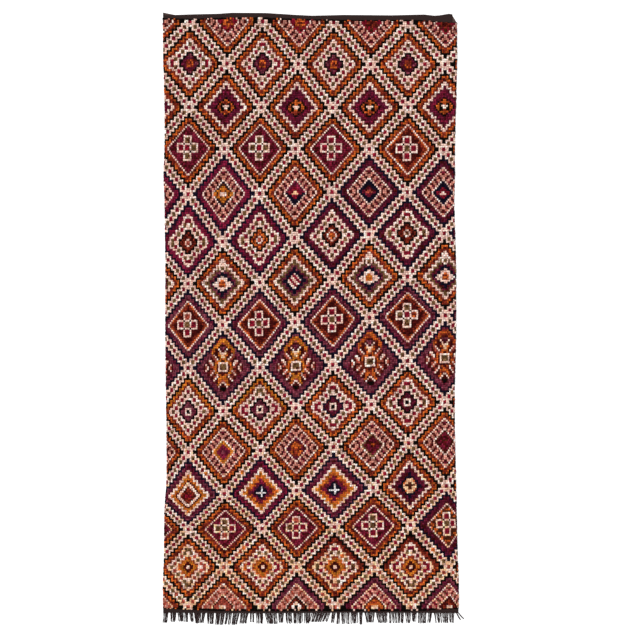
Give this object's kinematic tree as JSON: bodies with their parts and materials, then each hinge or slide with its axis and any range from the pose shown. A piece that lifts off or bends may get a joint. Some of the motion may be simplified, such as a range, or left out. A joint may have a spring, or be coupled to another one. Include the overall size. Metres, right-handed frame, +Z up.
{
  "type": "boujad rug",
  "caption": "Long hand-knotted wool floor rug with lumpy pile, stepped diamond lattice, flat-woven dark ends and a dark warp fringe at one end.",
  "frame": {"origin": "middle of the whole footprint, fringe included, on the floor that the rug lies on", "axes": "+X across the rug, +Y up its length from the fringed end to the plain end, +Z up out of the pile"},
  "size_m": [1.5582, 3.161, 0.0145],
  "materials": {
    "wool_pile": "knotted wool pile, matt",
    "fringe_wool": "loose dark wool yarn, matt",
    "end_band_wool": "flat-woven dark wool, matt",
    "foundation_wool": "woven wool back with knot collars, matt",
    "ivory_wool": "knotted wool pile, matt",
    "crimson_wool": "knotted wool pile, matt",
    "olive_wool": "knotted wool pile, matt",
    "orange_wool": "knotted wool pile, matt",
    "rust_wool": "knotted wool pile, matt",
    "purple_wool": "knotted wool pile, matt",
    "navy_wool": "knotted wool pile, matt",
    "black_wool": "knotted wool pile, matt"
  },
  "bodies": {
    "root": {"rug_cloth": "wool_pile", "fringe": "fringe_wool"}
  },
  "joints": []
}
